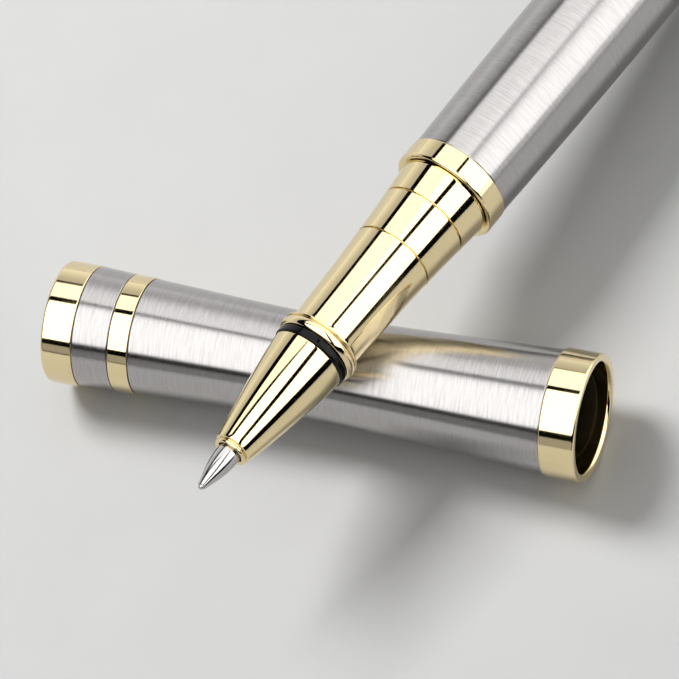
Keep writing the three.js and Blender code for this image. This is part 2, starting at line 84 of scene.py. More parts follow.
# Across an engraved line: distance from its middle, depth.
LINE_STEPS = ((-0.14, 0), (-0.11, 0.02), (-0.08, 0.22), (0.08, 0.22), (0.11, 0.02), (0.14, 0))
LINE_CLEARANCE = 0.16
NIPPLE_START = 36
NIPPLE_ROOT_R = 3.95
NIPPLE_BORE_R = 3.3
SEAL_GROOVE_START = 43.3
SEAL_GROOVE_END = 44.4
SEAL_GROOVE_R = 3.75
SEAL_RING_R = 4.19
SEAL_WIRE_R = 0.38
FRONT_RING_END = 45.2
FRONT_RING_R = 5.95
FRONT_RING_BORE_R = 4.7
THREAD_START = 45.8
THREAD_PITCH = 0.75
THREAD_TURNS = 8
THREAD_R = 4.35
THREAD_DEPTH = 0.3
THREAD_CLEARANCE = 0.1
THREAD_STEPS = 8            # points along one pitch
THREAD_INSERT_R = 5.2
THREAD_INSERT_END = 62
THREAD_INSERT_TURNS = 20
BARREL_FULL = 75
BARREL_FULL_R = 6.15
BARREL_START_R = 5.8
BARREL_END = 116.5
BARREL_END_R = 5.6
BARREL_WALL = 0.5
TAIL_RING_END = 119
TAIL_RING_R = 5.72
TAIL_RING_BORE_R = 4.6
PEN_LENGTH = 128
TAIL_R = 5.2
TAIL_ROUND = 0.8
TAIL_PLUG_R = 4.5
TAIL_PLUG_START = 115.3

# Refill and its spring, distances from the tip.
REFILL_R = 3
REFILL_BORE_R = 2.6
REFILL_TUBE_START = 18.6
REFILL_TUBE_END = 105
REFILL_NOSE_END = 24
REFILL_END = 107
REFILL_NIB_R = 1.4
REFILL_NIB_END = 109.5
RESERVOIR_START = 24.2
RESERVOIR_END = 103.2
RESERVOIR_R = 2.45
SPRING_START = 107.4
SPRING_END = 112.4
SPRING_R = 2.1
SPRING_WIRE_R = 0.22
SPRING_TURNS = 5
SPRING_SEAT_START = 106.5
SPRING_SEAT_END = 115
SPRING_SEAT_FLOOR = 113.6
SPRING_SEAT_R = 4.9

# Cap, distances from the closed top end.
CAP_LENGTH = 59
END_BAND_END = 3.5
END_BAND_R = 6.5
MID_BAND_START = 7.5
MID_BAND_END = 9.7
MID_BAND_R = 6.27
LIP_BAND_START = 55.1
LIP_BAND_R = 6.8
LIP_BORE_R = 5.85
CAP_WAIST = 28.4
CAP_WAIST_R = 5.56
CAP_FLARE = 0.045
CAP_WAIST_SOFTNESS = 6
CAP_WALL = 0.45
BAND_BORE_R = 5.45          # of the bands and tube that sit on the brass liner
TOP_PLATE_R = 5.35
TOP_PLATE_SKIRT_R = 4.8
INNER_CAP_START = 13
INNER_CAP_END = 40
INNER_CAP_R = 5
INNER_CAP_BORE_R = 4.5
SLEEVE_START = 40.3
SLEEVE_END = 55
SLEEVE_WALL = 0.3
SCREW_R = 1.4
SCREW_HEAD_R = 2.4
CLIP_FOOT = 36.5            # where the clip's foot bears on the cap
CLIP_GAP = 0.3
CLIP_DOWN = math.radians(33.75)
CLIP_WIDTH = 2.8
CLIP_EDGE = 0.28

# Middles of the rings that the two axes are found from.
SNAP_RING_MIDDLE = (NOSE_END + FIT + SNAP_RING_END) / 2
TAIL_RING_MIDDLE = (BARREL_END + FIT + TAIL_RING_END) / 2
END_BAND_MIDDLE = (FIT + END_BAND_END) / 2
LIP_BAND_MIDDLE = (LIP_BAND_START + CAP_LENGTH) / 2

# Small chamfer at the ends of the brushed tubes.
TUBE_EDGE = 0.1
TUBE_EDGE_STEP = 0.03

# The camera: where it stands round the object, how it is rolled, and what it looks at.
VIEW_ACROSS_CAP = 30.5
VIEW_AZIMUTH = 304.9
VIEW_ELEVATION = 59.3
VIEW_ROLL = -20.5
VIEW_DISTANCE = 0.678
VIEW_LENS = 345
VIEW_AIM_RIGHT = 0.59
VIEW_AIM_UP = 3.26

# How bright the light boxes look in the metal.
FRONT_LEVEL = 2.4
TOP_LEVEL = 1.75
REAR_NEAR = 0.6
REAR_FAR = 1.1
LOW_LEVEL = 0.4
DIFFUSE_STRENGTH = 0.17     # of the light boxes, where they light matt surfaces

# Edges of the light boxes: the angles up round the pen and the cap, in degrees from the line
# nearest the viewer, at which each edge is seen in the metal.
REAR_EDGE = (37.5, 40.6)
REAR_FADE = (38, 41)
REAR_FADE_END = 0.6
AHEAD_OF_REAR_EDGE = (33, 38.9)
TOP_EDGE = (-14, 22)
FRONT_UPPER_EDGE = (6, 18)
FRONT_LOWER_EDGE = (-24.5, -18.5)
LOW_EDGE = (-34, -24)
EDGE_SOFTNESS = 0.008

# Edges of the dark post between the boxes: angles round the grip section and the nose cone.
POST_EDGES = ((5.2, 2), (1.1, -4.5))
SECTION_TAPER = 2.1
CONE_TAPER = 9.1

# The key light, as directions to the viewer's right, up and back, and its distance.
KEY_AIM = (-0.6, 0.68, 0.42)
KEY_DISTANCE = 0.8
KEY_SIZE = 0.30
KEY_POWER = 5.4
FLOOR_REACH = 3.0
FLOOR_DROP = 0.0001


# ---------------------------------------------------------------- profiles

def cap_radius(x):
    run = math.hypot(x - CAP_WAIST, CAP_WAIST_SOFTNESS) - CAP_WAIST_SOFTNESS
    return CAP_WAIST_R + CAP_FLARE * run


def nose_radius(x):
    u = (x - NOSE_START) / (NOSE_END - NOSE_START)
    return NOSE_START_R + (NOSE_END_R - NOSE_START_R) * u + 4 * NOSE_BULGE * u * (1 - u)


def section_radius(x):
    run = x - SECTION_WAIST
    share = max(run / (SECTION_END - SECTION_WAIST), 0)
    return SECTION_WAIST_R + SECTION_SLOPE * run + SECTION_FLARE * share ** 2.5


def barrel_radius(x):
    ahead = x < BARREL_FULL
    reach = BARREL_FULL - FRONT_RING_END if ahead else BARREL_END - BARREL_FULL
    drop = BARREL_FULL_R - (BARREL_START_R if ahead else BARREL_END_R)
    return BARREL_FULL_R - drop * ((x - BARREL_FULL) / reach) ** 2


def along(radius, start, end, steps, offset=0.0):
    points = []
    for i in range(steps + 1):
        x = start + (end - start) * i / steps
        points.append((radius(x) + offset, x))
    return points


def arc(centre_r, centre_x, size, start, end, steps):
    points = []
    for i in range(steps + 1):
        a = math.radians(start + (end - start) * i / steps)
        points.append((centre_r + size * math.cos(a), centre_x + size * math.sin(a)))
    return points


def eased(points, size, steps=4, closed=False):
    """Rounds each corner of an outline by up to size."""
    count = len(points)
    result = []
    for i, (r, x) in enumerate(points):
        if not closed and i in (0, count - 1):
            result.append((r, x))
            continue
        here = Vector((r, x))
        before = Vector(points[i - 1])
        after = Vector(points[(i + 1) % count])
        to_before = before - here
        to_after = after - here
        turn = to_before.angle(to_after, math.pi)
        if turn > math.radians(160):
            result.append((r, x))
            continue
        reach = min(size, 0.45 * to_before.length, 0.45 * to_after.length)
        a = here + to_before.normalized() * reach
        b = here + to_after.normalized() * reach
        for k in range(steps + 1):
            t = k / steps
            p = a * (1 - t) ** 2 + here * 2 * t * (1 - t) + b * t ** 2
            result.append((p.x, p.y))
    return result


def box_outline(bore, outer, start, end):
    return [(bore, start), (outer, start), (outer, end), (bore, end)]


def band(start, end, outer, bore, ease):
    return eased(box_outline(bore, outer, start, end), ease, 6, closed=True)


def soft_ended(radius, start, end, steps):
    """The outside of a tube, with a small chamfer at each end."""
    return [
        (radius(start) - TUBE_EDGE, start),
        (radius(start) - TUBE_EDGE_STEP, start + TUBE_EDGE_STEP),
        *along(radius, start + TUBE_EDGE, end - TUBE_EDGE, steps),
        (radius(end) - TUBE_EDGE_STEP, end - TUBE_EDGE_STEP),
        (radius(end) - TUBE_EDGE, end),
    ]


# ---------------------------------------------------------------- meshes

def held(outline, keep=0.03, longer=3.0):
    """Adds a point just inside the ends of long straight runs, so that their shading stays straight."""
    points = [Vector(p) for p in outline]
    lengths = [(b - a).length for a, b in zip(points, points[1:])]
    result = [outline[0]]
    for i, length in enumerate(lengths):
        along_run = (points[i + 1] - points[i]) / length
        if i > 0 and length > longer * lengths[i - 1] and length > 4 * keep:
            result.append(tuple(points[i] + along_run * keep))
        if i + 1 < len(lengths) and length > longer * lengths[i + 1] and length > 4 * keep:
            result.append(tuple(points[i + 1] - along_run * keep))
        result.append(outline[i + 1])
    return result


def finish_mesh(name, verts, faces, place):
    mesh = bpy.data.meshes.new(name)
    mesh.from_pydata(verts, [], faces)
    mesh.update()
    obj = bpy.data.objects.new(name, mesh)
    bpy.context.scene.collection.objects.link(obj)
    bpy.context.view_layer.objects.active = obj
    bm = bmesh.new()
    bm.from_mesh(mesh)
    bmesh.ops.remove_doubles(bm, verts=bm.verts, dist=SAME_POINT)
    bmesh.ops.recalc_face_normals(bm, faces=bm.faces)
    bm.to_mesh(mesh)
    bm.free()
    mesh.shade_smooth()
    mesh.set_sharp_from_angle(angle=SMOOTH_ANGLE)
    obj.matrix_world = place
    return obj


def turned(name, outline, place, segments):
    """A surface of revolution about local Z, whose outline closes on itself or ends on the axis."""
    verts = []
    rings = []
    for r, x in held(outline):
        if r < ON_AXIS:
            rings.append([len(verts)] * segments)
            verts.append((0, 0, x * MM))
            continue
        rings.append(list(range(len(verts), len(verts) + segments)))
        for k in range(segments):
            a = 2 * math.pi * k / segments
            verts.append((r * MM * math.cos(a), r * MM * math.sin(a), x * MM))
    faces = []
    pairs = list(zip(rings, rings[1:]))
    if outline[0][0] >= ON_AXIS:
        pairs.append((rings[-1], rings[0]))
    for low, high in pairs:
        for k in range(segments):
            j = (k + 1) % segments
            corner = [low[k], low[j], high[j], high[k]]
            face = [v for i, v in enumerate(corner) if v not in corner[:i]]
            if len(face) > 2:
                faces.append(face)
    return finish_mesh(name, verts, faces, place)


def swept(name, centre, size, steps, sides, place):
    """A round wire along centre(t), t from 0 to 1, with closed ends."""
    verts = []
    faces = []
    for i in range(steps + 1):
        t = i / steps
        p = Vector(centre(t))
        ahead = (Vector(centre(min(1, t + 1e-4))) - Vector(centre(max(0, t - 1e-4)))).normalized()
        across = Vector((p.x, p.y, 0)).normalized()
        across = (across - ahead * across.dot(ahead)).normalized()
        other = ahead.cross(across)
        for k in range(sides):
            a = 2 * math.pi * k / sides
            verts.append((p + (across * math.cos(a) + other * math.sin(a)) * size) * MM)
    for i in range(steps):
        for k in range(sides):
            j = (k + 1) % sides
            faces.append([i * sides + k, i * sides + j, (i + 1) * sides + j, (i + 1) * sides + k])
    faces.append(list(range(sides)))
    faces.append([steps * sides + k for k in range(sides)])
    return finish_mesh(name, verts, faces, place)


# ---------------------------------------------------------------- materials

def new_material(name):
    mat = bpy.data.materials.new(name)
    mat.use_nodes = True
    return mat, mat.node_tree, mat.node_tree.nodes["Principled BSDF"]


def noise(tree, stretch, detail=3.0, rough=0.55):
    """Noise over the piece's own coordinates, in cycles per millimetre along each local axis."""
    nodes, links = tree.nodes, tree.links
    coords = nodes.new("ShaderNodeTexCoord")
    mapping = nodes.new("ShaderNodeMapping")
    mapping.inputs["Scale"].default_value = [s / MM for s in stretch]
    tex = nodes.new("ShaderNodeTexNoise")
    tex.inputs["Scale"].default_value = 1.0
    tex.inputs["Detail"].default_value = detail
    tex.inputs["Roughness"].default_value = rough
    links.new(coords.outputs["Object"], mapping.inputs["Vector"])
    links.new(mapping.outputs["Vector"], tex.inputs["Vector"])
    return tex.outputs["Fac"]


def ranged(tree, value, low, high):
    node = tree.nodes.new("ShaderNodeMapRange")
    node.inputs["From Min"].default_value = NOISE_LOW
    node.inputs["From Max"].default_value = NOISE_HIGH
    node.inputs["To Min"].default_value = low
    node.inputs["To Max"].default_value = high
    tree.links.new(value, node.inputs["Value"])
    return node.outputs["Result"]


def tinted(tree, value, dark, light):
    ramp = tree.nodes.new("ShaderNodeValToRGB")
    ramp.color_ramp.elements[0].position = NOISE_LOW
    ramp.color_ramp.elements[1].position = NOISE_HIGH
    ramp.color_ramp.elements[0].color = (*dark, 1)
    ramp.color_ramp.elements[1].color = (*light, 1)
    tree.links.new(value, ramp.inputs["Fac"])
    return ramp.outputs["Color"]


def bumped(tree, bsdf, value, strength, distance):
    bump = tree.nodes.new("ShaderNodeBump")
    bump.inputs["Strength"].default_value = strength
    bump.inputs["Distance"].default_value = distance * MM
    tree.links.new(value, bump.inputs["Height"])
    tree.links.new(bump.outputs["Normal"], bsdf.inputs["Normal"])


def gold_material():
    """Polished pale gold plate: faint clouding and hairlines."""
    mat, tree, bsdf = new_material("pale_gold")
    cloud = noise(tree, (0.12, 0.12, 0.12))
    hair = noise(tree, (1.2, 1.2, 14.0), 2.0)
    bsdf.inputs["Metallic"].default_value = 1
    tree.links.new(tinted(tree, cloud, (0.80, 0.665, 0.385), (0.85, 0.71, 0.43)), bsdf.inputs["Base Color"])
    tree.links.new(ranged(tree, cloud, 0.045, 0.09), bsdf.inputs["Roughness"])
    bumped(tree, bsdf, hair, 0.03, 0.01)
    return mat


def brushed_steel_material():
    """Stainless steel brushed round its axis: short streaks across the length."""
    mat, tree, bsdf = new_material("brushed_steel")
    streak = noise(tree, (0.35, 0.35, 7.0), 4.0, 0.7)
    fine = noise(tree, (1.2, 1.2, 30.0), 3.0, 0.7)
    bsdf.inputs["Metallic"].default_value = 1
    bsdf.inputs["Anisotropic"].default_value = 0.85
    bsdf.inputs["Anisotropic Rotation"].default_value = 0.25
    tangent = tree.nodes.new("ShaderNodeTangent")
    tangent.direction_type = "RADIAL"
    tangent.axis = "Z"
    tree.links.new(tangent.outputs["Tangent"], bsdf.inputs["Tangent"])
    tint = tinted(tree, streak, (0.375, 0.36, 0.354), (0.475, 0.46, 0.454))
    tree.links.new(tint, bsdf.inputs["Base Color"])
    tree.links.new(ranged(tree, fine, 0.16, 0.26), bsdf.inputs["Roughness"])
    bumped(tree, bsdf, fine, 0.12, 0.012)
    return mat


def polished_steel_material():
    mat, tree, bsdf = new_material("polished_steel")
    cloud = noise(tree, (0.5, 0.5, 3.0))
    bsdf.inputs["Metallic"].default_value = 1
    tree.links.new(tinted(tree, cloud, (0.49, 0.48, 0.47), (0.53, 0.52, 0.51)), bsdf.inputs["Base Color"])
    tree.links.new(ranged(tree, cloud, 0.11, 0.15), bsdf.inputs["Roughness"])
    bumped(tree, bsdf, cloud, 0.05, 0.01)
    return mat


def brass_material():
    mat, tree, bsdf = new_material("turned_brass")
    marks = noise(tree, (0.3, 0.3, 9.0), 3.0)
    bsdf.inputs["Metallic"].default_value = 1
    tree.links.new(tinted(tree, marks, (0.62, 0.44, 0.18), (0.74, 0.56, 0.27)), bsdf.inputs["Base Color"])
    tree.links.new(ranged(tree, marks, 0.22, 0.4), bsdf.inputs["Roughness"])
    bumped(tree, bsdf, marks, 0.15, 0.01)
    return mat


def plastic_material(name, dark, light, low, high, specular=0.5):
    mat, tree, bsdf = new_material(name)
    grain = noise(tree, (2.5, 2.5, 2.5), 4.0)
    tree.links.new(tinted(tree, grain, dark, light), bsdf.inputs["Base Color"])
    tree.links.new(ranged(tree, grain, low, high), bsdf.inputs["Roughness"])
    bumped(tree, bsdf, grain, 0.08, 0.01)
    bsdf.inputs["Specular IOR Level"].default_value = specular
    return mat


def floor_material():
    mat, tree, bsdf = new_material("floor")
    grain = noise(tree, (0.08, 0.08, 0.08), 4.0)
    tree.links.new(tinted(tree, grain, (0.70, 0.70, 0.695), (0.72, 0.72, 0.715)), bsdf.inputs["Base Color"])
    bsdf.inputs["Roughness"].default_value = 0.6
    return mat


# ---------------------------------------------------------------- the two axes

def middle(node):
    low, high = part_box(node)
    return (Vector(low) + Vector(high)) / 2


def axis_place(near, near_x, far, far_x):
    """A frame with local Z from near to far and its origin where the distance is zero."""
    a, b = middle(near), middle(far)
    z = (b - a).normalized()
    origin = a - z * near_x * MM
    up = (Vector((0, 0, 1)) - z * z.z).normalized()
    place = Matrix((up.cross(z), up, z)).transposed().to_4x4()
    place.translation = origin
    return place


# ---------------------------------------------------------------- pen outlines

def ball_outline():
    return [(0, 0)] + arc(0, BALL_R, BALL_R, -86, 86, 24) + [(0, 2 * BALL_R)]


def point_outline():
    lip = BALL_R + 0.05
    reach = POINT_CONE_END - lip

    def ogive(x):
        return POINT_CONE_R + (POINT_R - POINT_CONE_R) * math.sin(math.pi / 2 * (x - lip) / reach)

    socket = [(0, 0.95), (0.38, 0.72), (0.38, lip), (0.41, lip - 0.02)]
    return socket + along(ogive, lip, POINT_CONE_END, 24) + [(POINT_R, POINT_END), (0, POINT_END)]


def nose_outline():
    outer = [(MOUTH_R, 5.6), (MOUTH_R, 5.25), (1.5, 5.14), (1.62, NOSE_START)]
    outer += arc(1.7, 5.3, 0.2, -85, 80, 10)
    outer += [(1.78, 5.52), (1.78, 5.6), (1.98, 5.64), (2.06, 5.7)]
    body = along(nose_radius, 5.82, NOSE_END - 0.12, 40)
    end = [(NOSE_END_R - 0.01, NOSE_END - 0.05), (NOSE_END_R - 0.08, NOSE_END), (NOSE_SPIGOT_R, NOSE_END)]
    end += [(NOSE_SPIGOT_R, NOSE_SPIGOT_END), (NOSE_BORE_R, NOSE_SPIGOT_END)]
    bore = [(NOSE_BORE_R, 16.4), (2.2, 12.4), (2.2, 8.9), (MOUTH_R, 8.9)]
    return outer + body + end + bore


def bead_outline():
    half = (BEAD_END - BEAD_RIM - SECTION_START) / 2
    middle_x = SECTION_START + half
    points = []
    for i in range(25):
        a = math.radians(-90 + 165 * i / 24)
        points.append((BEAD_R - BEAD_DEPTH + BEAD_DEPTH * math.cos(a), middle_x + half * math.sin(a)))
    return points + arc(BEAD_R - 0.2, BEAD_END - BEAD_RIM / 2, BEAD_RIM / 2, -70, 90, 8)


def section_body_outline():
    """The grip's outside, with its engraved lines."""
    end = SECTION_END - 0.12
    points = []
    for point in along(section_radius, SECTION_WAIST, end, 90):
        if all(abs(point[1] - line) > LINE_CLEARANCE for line in SECTION_LINES):
            points.append(point)
    for line in SECTION_LINES:
        for step, depth in LINE_STEPS:
            points.append((section_radius(line + step) - depth, line + step))
    points.sort(key=lambda p: p[1])
    return points


def section_outline():
    neck = [(4.1, BEAD_END + 0.02), (4.0, BEAD_END + 0.06), (3.97, BEAD_END + 0.14)]
    rear_r = section_radius(SECTION_END)
    rear = [(rear_r - 0.02, SECTION_END - 0.04), (rear_r - 0.12, SECTION_END)]
    nipple_r = NIPPLE_ROOT_R + FIT
    spigot_r = NOSE_SPIGOT_R + FIT
    spigot_end = NOSE_SPIGOT_END + 0.2
    bore = [(nipple_r, SECTION_END), (nipple_r, NIPPLE_START), (SECTION_BORE_R, NIPPLE_START)]
    bore += [(SECTION_BORE_R, spigot_end), (spigot_r, spigot_end), (spigot_r, SECTION_START)]
    return bead_outline() + neck + section_body_outline() + rear + bore


def front_ring_outline():
    shoulder = section_radius(SECTION_END)
    start = SECTION_END + FIT
    face = [(FRONT_RING_BORE_R, start), (shoulder + 0.02, start), (shoulder + 0.10, start - 0.02)]
    face += [(FRONT_RING_R - 0.30, start - 0.10)]
    front = arc(FRONT_RING_R - 0.28, start + 0.18, 0.28, -88, 0, 10)
    rear = arc(FRONT_RING_R - 0.12, FRONT_RING_END - 0.12, 0.12, 0, 90, 6)
    return face + front + rear + [(FRONT_RING_BORE_R, FRONT_RING_END)]


def barrel_outline():
    start = FRONT_RING_END + FIT
    outer = soft_ended(barrel_radius, start, BARREL_END, 60)
    return outer + along(barrel_radius, BARREL_END, start, 12, -BARREL_WALL)


def finial_outline():
    start = TAIL_RING_END + FIT
    plug = [(0, TAIL_PLUG_START), (TAIL_PLUG_R - 0.2, TAIL_PLUG_START), (TAIL_PLUG_R, TAIL_PLUG_START + 0.2)]
    side = [(TAIL_PLUG_R, start), (5.35, start), (5.5, start + 0.05), (5.55, start + 0.2)]
    end = arc(TAIL_R - TAIL_ROUND, PEN_LENGTH - TAIL_ROUND, TAIL_ROUND, 2, 90, 16)
    return plug + side + end + [(3.2, PEN_LENGTH), (0, PEN_LENGTH)]


def refill_nose_outline():
    shoulder = REFILL_TUBE_START - FIT
    front = [(0, 9.05), (1.85, 9.05), (2, 12), (2.6, 16), (2.6, shoulder)]
    plug = [(2.5, shoulder), (2.5, REFILL_NOSE_END), (0, REFILL_NOSE_END)]
    return eased(front + plug, 0.2)


def refill_plug_outline():
    shoulder = REFILL_TUBE_END + FIT
    plug = [(0, 103.5), (2.5, 103.5), (2.5, shoulder), (REFILL_R, shoulder), (REFILL_R, REFILL_END)]
    nib = [(REFILL_NIB_R, REFILL_END), (REFILL_NIB_R, REFILL_NIB_END), (0, REFILL_NIB_END)]
    return eased(plug + nib, 0.25)


def spring_seat_outline():
    well = [(0, SPRING_SEAT_FLOOR), (2.6, SPRING_SEAT_FLOOR), (2.6, 109.2), (3.25, 108.9)]
    front = [(3.25, SPRING_SEAT_START), (SPRING_SEAT_R, SPRING_SEAT_START)]
    rear = [(SPRING_SEAT_R, SPRING_SEAT_END), (0, SPRING_SEAT_END)]
    return eased(well + front + rear, 0.2)


def thread_insert_outline():
    """A bush with the barrel's thread in its bore, drawn as rings at the thread's pitch."""
    start = FRONT_RING_END + FIT
    end = THREAD_INSERT_END
    bore = THREAD_R + THREAD_CLEARANCE
    half = THREAD_DEPTH / 2
    ridges = []
    for i in range(THREAD_INSERT_TURNS * THREAD_STEPS + 1):
        x = end - 0.4 - THREAD_PITCH * i / THREAD_STEPS
        ridges.append((bore + half - half * math.cos(2 * math.pi * i / THREAD_STEPS), x))
    shell = eased(box_outline(bore, THREAD_INSERT_R, start, end), 0.2)
    return shell + ridges


def clip_screw_outline():
    shank = [(0, 2.3), (SCREW_R, 2.3), (SCREW_R, 7.35)]
    return eased(shank + [(SCREW_HEAD_R, 7.35), (SCREW_HEAD_R, 8.5), (0, 8.5)], 0.3)


def nipple_outline():
    """The nipple's thread is drawn as rings at the thread's pitch."""
    half = THREAD_DEPTH / 2
    ridges = []
    for i in range(THREAD_TURNS * THREAD_STEPS + 1):
        x = THREAD_START + THREAD_PITCH * i / THREAD_STEPS
        ridges.append((THREAD_R - half + half * math.cos(2 * math.pi * (i / THREAD_STEPS + 0.5)), x))
    root = [(NIPPLE_BORE_R, 36.05), (NIPPLE_ROOT_R, 36.05), (NIPPLE_ROOT_R, 42.9), (THREAD_R, 42.9)]
    groove = [(THREAD_R, SEAL_GROOVE_START), (SEAL_GROOVE_R, SEAL_GROOVE_START)]
    groove += [(SEAL_GROOVE_R, SEAL_GROOVE_END), (THREAD_R, SEAL_GROOVE_END)]
    collar = [(THREAD_R, FRONT_RING_END), (4.05, 45.5)]
    return eased(root + groove + collar, 0.06)[:-1] + ridges + [(3.9, 51.95), (NIPPLE_BORE_R, 51.95)]


# ---------------------------------------------------------------- cap outlines

def lip_outline():
    start = LIP_BAND_START
    outer = arc(LIP_BAND_R - 0.15, start + 0.15, 0.15, -90, 0, 6)
    lip = arc(LIP_BAND_R - 0.28, CAP_LENGTH - 0.28, 0.28, 0, 90, 10)
    inner = arc(LIP_BORE_R + 0.45, CAP_LENGTH - 0.45, 0.45, 90, 180, 12)
    return [(LIP_BORE_R, start)] + outer + lip + inner


def end_band_outline():
    outer = arc(END_BAND_R - 0.3, FIT + 0.3, 0.3, -90, 0, 10)
    outer += arc(END_BAND_R - 0.12, END_BAND_END - 0.12, 0.12, 0, 90, 6)
    return outer + [(BAND_BORE_R, END_BAND_END), (BAND_BORE_R, FIT)]


def top_plate_outline():
    face = [(0, 0), (4.9, 0)] + arc(TOP_PLATE_R - 0.2, 0.2, 0.2, -90, 0, 8) + [(TOP_PLATE_R, 2)]
    skirt = [(TOP_PLATE_SKIRT_R, 2), (TOP_PLATE_SKIRT_R, 4.4), (1.45, 4.4), (1.45, 2.2), (0, 2.2)]
    return face + skirt


def cap_tube_outline():
    start, end = MID_BAND_END + FIT, LIP_BAND_START - FIT
    return soft_ended(cap_radius, start, end, 70) + along(cap_radius, end, start, 20, -CAP_WALL)


def upper_tube_outline():
    start, end = END_BAND_END + FIT, MID_BAND_START - FIT
    return soft_ended(cap_radius, start, end, 8) + [(BAND_BORE_R, end), (BAND_BORE_R, start)]


def inner_cap_outline():
    outer = [(0, INNER_CAP_START), (4.7, INNER_CAP_START), (4.93, 13.12), (INNER_CAP_R, 13.4)]
    rim = [(INNER_CAP_R, 39.9), (4.9, INNER_CAP_END), (4.6, INNER_CAP_END), (INNER_CAP_BORE_R, 39.9)]
    return outer + rim + [(INNER_CAP_BORE_R, 17), (4.2, 16.4), (2, 14.6), (0, 14.6)]


def sleeve_outline():
    def outer(x):
        return cap_radius(x) - CAP_WALL - FIT

    inner = along(outer, SLEEVE_END, SLEEVE_START, 20, -SLEEVE_WALL)
    return along(outer, SLEEVE_START, SLEEVE_END, 20) + inner


# ---------------------------------------------------------------- the clip

def curve(a, b, c, steps=8):
    """Points along a bend from a to c, pulled towards b. a is left out."""
    points = []
    for i in range(1, steps + 1):
        t = i / steps
        p = Vector(a) * (1 - t) ** 2 + Vector(b) * 2 * t * (1 - t) + Vector(c) * t ** 2
        points.append((p.x, p.y))
    return points


def clip_side():
    """The clip's side view: (distance along the cap, radius), going round."""
    foot_r = cap_radius(CLIP_FOOT) + CLIP_GAP

    outline = [(4.75, 3.4), (5.85, 3.4), (5.85, 6.6)]
    outline += curve((5.85, 6.6), (5.85, 7.0), (6.4, 7.0))
    outline += [(20, 6.87), (33.2, 6.75)]
    outline += curve((33.2, 6.75), (34.6, 6.7), (35.4, foot_r + 0.25))
    outline += curve((35.4, foot_r + 0.25), (CLIP_FOOT, foot_r - 0.25), (37.6, foot_r + 0.25))
    outline += curve((37.6, foot_r + 0.25), (38.4, 6.8), (39.4, 7.3))
    outline += [(39.35, 7.6), (39.1, 7.78), (36, 7.87), (20, 8.05)]
    outline += [(5.9, 8.2)]
    outline += curve((5.9, 8.2), (4.3, 8.2), (4.3, 7.0))
    outline += [(4.35, 6.95), (4.75, 6.9)]
    return outline


def clip_piece(name, place):
    side = clip_side()
    half = CLIP_WIDTH / 2
    verts = []
    for s in (-half, half):
        for x, r in side:
            verts.append((s * MM, r * MM, x * MM))
    count = len(side)
    faces = [list(range(count))[::-1], list(range(count, 2 * count))]
    for i in range(count):
        j = (i + 1) % count
        faces.append([i, j, count + j, count + i])
    obj = finish_mesh(name, verts, faces, place)
    bevel = obj.modifiers.new("soft_edges", "BEVEL")
    bevel.width = CLIP_EDGE * MM
    bevel.segments = 4
    bevel.limit_method = "ANGLE"
    bevel.angle_limit = math.radians(50)
    return obj


# ---------------------------------------------------------------- the spring

def spring_centre(t):
    turn = 2 * math.pi * SPRING_TURNS * t
    x = SPRING_START + (SPRING_END - SPRING_START) * t
    return SPRING_R * math.cos(turn), SPRING_R * math.sin(turn), x


# ---------------------------------------------------------------- pieces

def make_materials():
    """One material for each slot of the CAD."""
    return {
        "gold": gold_material(),
        "steel": brushed_steel_material(),
        "polished_steel": polished_steel_material(),
        "brass": brass_material(),
        "black_plastic": plastic_material(
            "black_plastic", (0.012, 0.012, 0.013), (0.02, 0.02, 0.022), 0.35, 0.5),
        "black_gloss": plastic_material(
            "black_gloss", (0.002, 0.002, 0.003), (0.004, 0.004, 0.005), 0.03, 0.06, 0.15),
        "refill_plastic": plastic_material(
            "grey_plastic", (0.10, 0.11, 0.12), (0.14, 0.15, 0.16), 0.3, 0.45),
        "fibre": plastic_material(
            "ink_fibre", (0.02, 0.03, 0.08), (0.05, 0.07, 0.15), 0.8, 0.95),
        "rubber": plastic_material(
            "seal_rubber", (0.01, 0.01, 0.01), (0.02, 0.02, 0.02), 0.6, 0.8),
    }


def refill_tube_outline():
    return eased(box_outline(REFILL_BORE_R, REFILL_R, REFILL_TUBE_START, REFILL_TUBE_END), 0.12, closed=True)


def reservoir_outline():
    return eased(box_outline(0, RESERVOIR_R, RESERVOIR_START, RESERVOIR_END), 0.2)


def snap_ring_outline():
    return band(NOSE_END + FIT, SNAP_RING_END, SNAP_RING_R, SNAP_RING_BORE_R, 0.25)


def tail_ring_outline():
    return band(BARREL_END + FIT, TAIL_RING_END, TAIL_RING_R, TAIL_RING_BORE_R, 0.15)


def seal_outline():
    return arc(SEAL_RING_R, (SEAL_GROOVE_START + SEAL_GROOVE_END) / 2, SEAL_WIRE_R, 0, 345, 23)


def mid_band_outline():
    return band(MID_BAND_START, MID_BAND_END, MID_BAND_R, BAND_BORE_R, 0.1)


def washer_outline():
    return band(6.2, 7.3, 4.8, 1.5, 0.1)


